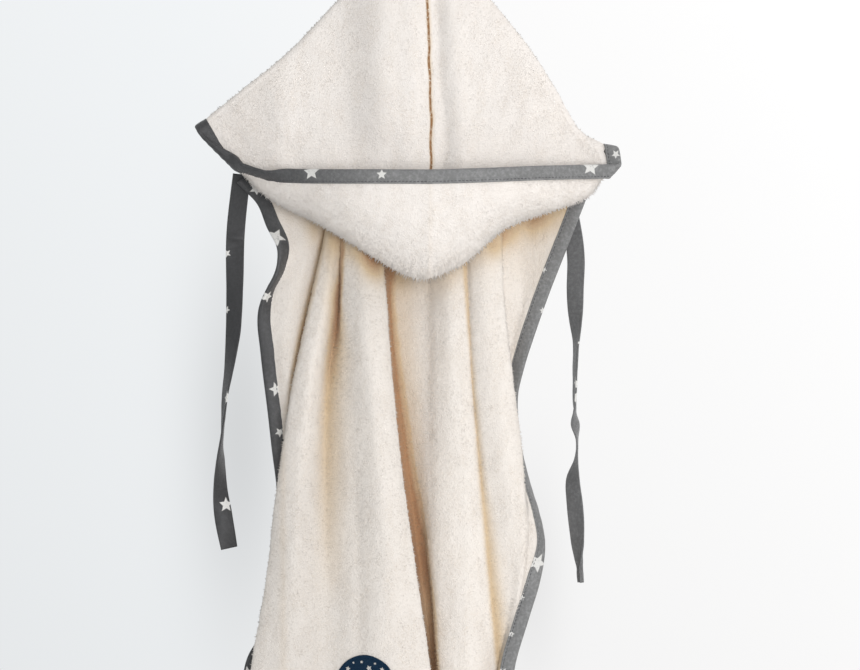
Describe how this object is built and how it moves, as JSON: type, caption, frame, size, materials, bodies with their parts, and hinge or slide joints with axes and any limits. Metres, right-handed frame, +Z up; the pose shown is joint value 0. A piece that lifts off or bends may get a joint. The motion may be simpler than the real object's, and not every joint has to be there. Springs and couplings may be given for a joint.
{
  "type": "hooded baby bath cape on a wall hook",
  "caption": "Hooded terry bath cape for a baby, hung by its nape loop on a turned wall hook, with bound edges, neck ties and a round patch.",
  "frame": {"origin": "middle of the wall hook's plate, on the face that meets the wall", "axes": "+Z up the wall, +Y into the wall, +X to the right as seen from the room"},
  "size_m": [0.361, 0.1013, 0.8005],
  "materials": {
    "terry": "ivory cotton terry towelling",
    "binding": "charcoal cotton bias binding with scattered ivory stars",
    "tie": "the same charcoal binding, folded and stitched",
    "loop": "the same charcoal binding, folded narrow",
    "patch": "navy embroidered cotton twill with small pale stars",
    "hook": "satin"
  },
  "bodies": {
    "root": {"body_binding_left": "binding", "body_binding_right": "binding", "cape_body": "terry", "hanging_loop": "loop", "hem_binding": "binding", "hood_binding_front": "binding", "hood_binding_left": "binding", "hood_binding_right": "binding", "hood_left": "terry", "hood_right": "terry", "patch": "patch", "tie_left": "tie", "tie_right": "tie", "wall_hook": "hook"}
  },
  "joints": []
}
